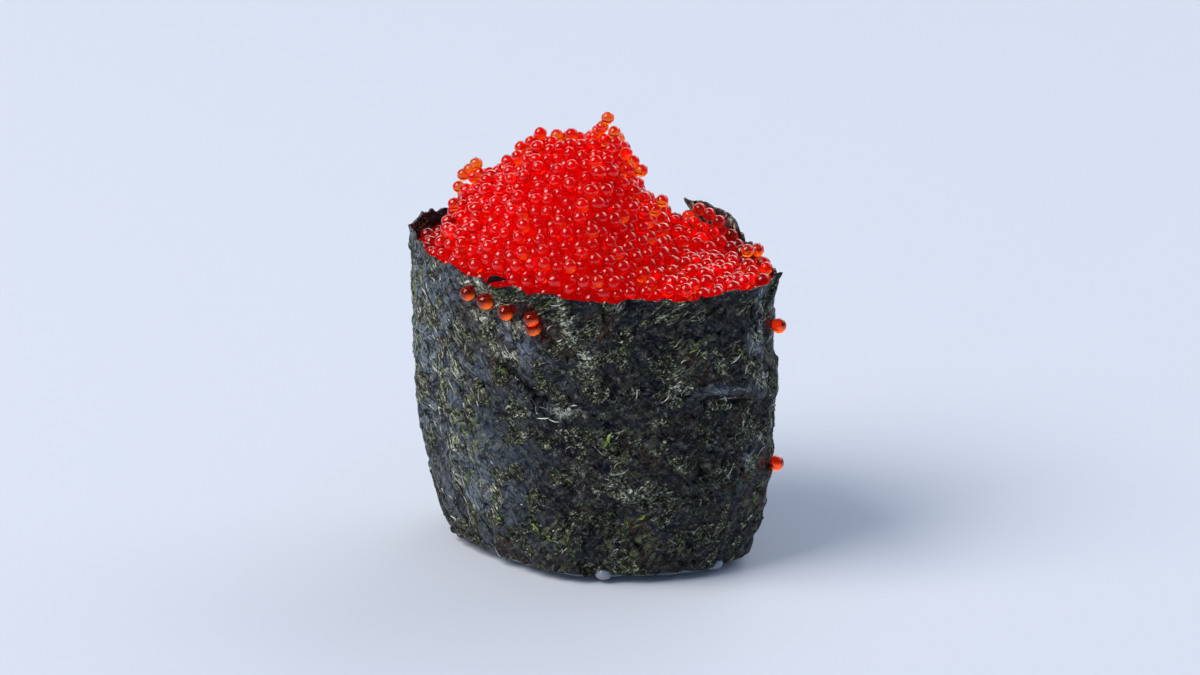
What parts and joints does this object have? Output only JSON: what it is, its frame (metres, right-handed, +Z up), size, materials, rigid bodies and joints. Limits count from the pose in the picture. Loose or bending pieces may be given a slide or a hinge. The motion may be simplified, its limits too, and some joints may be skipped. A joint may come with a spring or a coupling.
{
  "type": "gunkan sushi with flying fish roe",
  "caption": "Gunkan sushi: a tall oval band of dark seaweed round pressed rice, heaped high with small red fish eggs, some of them stuck to the band.",
  "frame": {"origin": "under the middle of the band, on the surface that the sushi stands on", "axes": "+Z up, X along the band's long way, -Y towards the side seen in the picture"},
  "size_m": [0.046, 0.0323, 0.0522],
  "materials": {
    "rice": "moist cooked rice grains, slightly translucent",
    "nori": "pressed dried seaweed, very dark green, pebbly, with a soft bluish sheen",
    "roe": "wet translucent red eggs, orange where light comes through"
  },
  "bodies": {
    "root": {"rice": "rice", "nori": "nori", "tobiko": "roe"}
  },
  "joints": []
}
